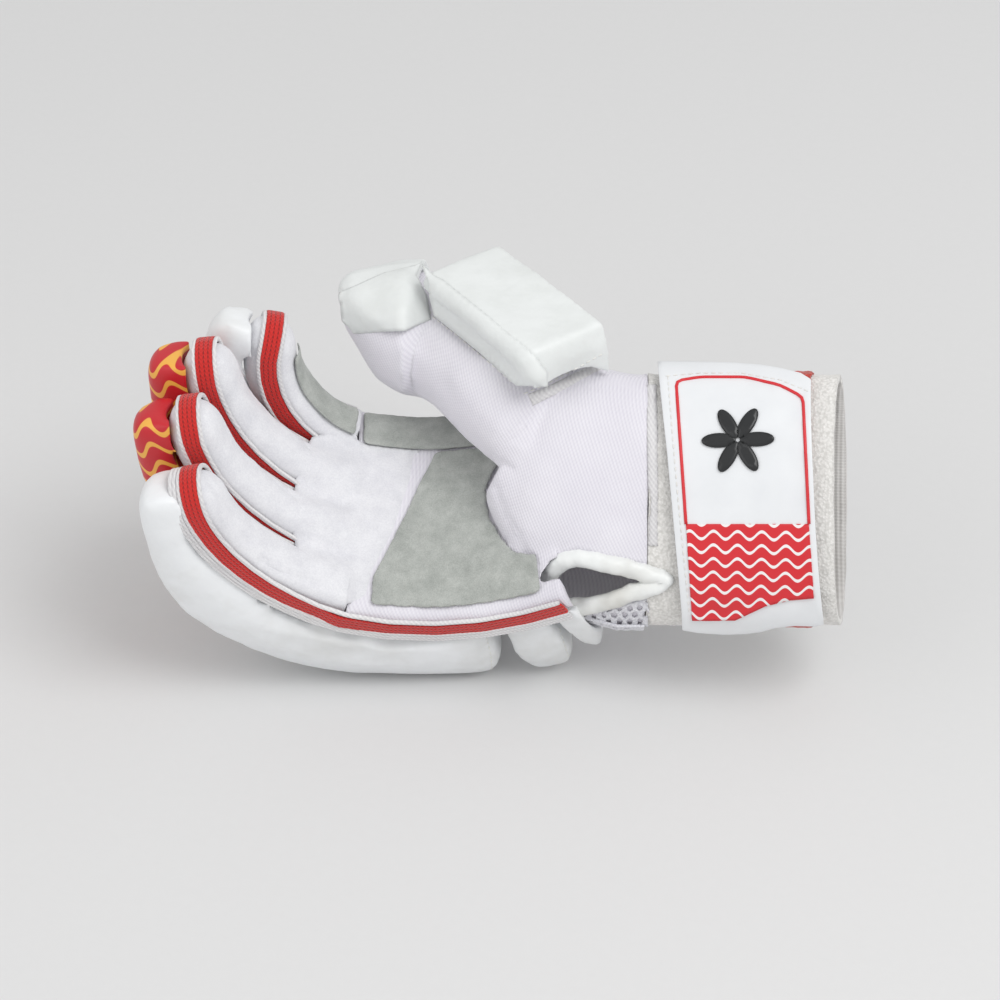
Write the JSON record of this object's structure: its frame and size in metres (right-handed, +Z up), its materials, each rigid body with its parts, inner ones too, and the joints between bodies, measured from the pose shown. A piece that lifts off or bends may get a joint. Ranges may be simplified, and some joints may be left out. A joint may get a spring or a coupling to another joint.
{
  "type": "cricket batting glove",
  "caption": "Right-hand cricket batting glove lying on its back with curled padded fingers, a thumb guard, a grey palm and a strapped cuff.",
  "frame": {"origin": "on the table, in the middle of the face that the ring finger's hand-back padding rests on", "axes": "+X from the fingertips to the cuff, +Y away from the little finger towards the thumb, +Z up"},
  "size_m": [0.2756, 0.1439, 0.1384],
  "materials": {
    "knit_cloth": "fine white knit, matt",
    "towelling": "cream terry towelling, matt",
    "white_leather": "smooth white leather, satin",
    "grey_suede": "grey suede, matt",
    "red_knit": "ribbed red knit, matt",
    "printed_leather": "red leather with gold wavy stripes, satin",
    "strap_plate": "moulded white panel with a red border, satin",
    "red_loop": "red hook-and-loop tape, matt",
    "spacer_mesh": "white spacer mesh, matt"
  },
  "bodies": {
    "root": {"hand_shell": "knit_cloth", "cuff": "towelling", "vent_binding": "white_leather", "palm_suede": "grey_suede", "index_palm_suede": "grey_suede", "index_finger_suede": "grey_suede", "loop_tape": "red_loop", "strap_band": "towelling", "strap_panel": "strap_plate", "mesh_panel": "spacer_mesh", "thumb_tip_pad": "white_leather", "thumb_guard": "white_leather", "pinky_side_pad": "white_leather", "pinky_wrist_pad": "white_leather", "pinky_wrist_flap": "white_leather", "pinky_sleeve": "knit_cloth", "pinky_gusset": "red_knit", "ring_sleeve": "knit_cloth", "ring_gusset": "red_knit", "middle_sleeve": "knit_cloth", "middle_gusset": "red_knit", "index_sleeve": "knit_cloth", "index_gusset": "red_knit", "ring_back_pad": "white_leather", "ring_knuckle_pad": "white_leather", "ring_middle_pad": "printed_leather", "ring_tip_pad": "printed_leather", "middle_back_pad": "white_leather", "middle_knuckle_pad": "white_leather", "middle_middle_pad": "printed_leather", "middle_tip_pad": "printed_leather", "index_back_pad": "white_leather", "index_knuckle_pad": "white_leather", "index_middle_pad": "white_leather", "index_tip_pad": "white_leather"}
  },
  "joints": []
}
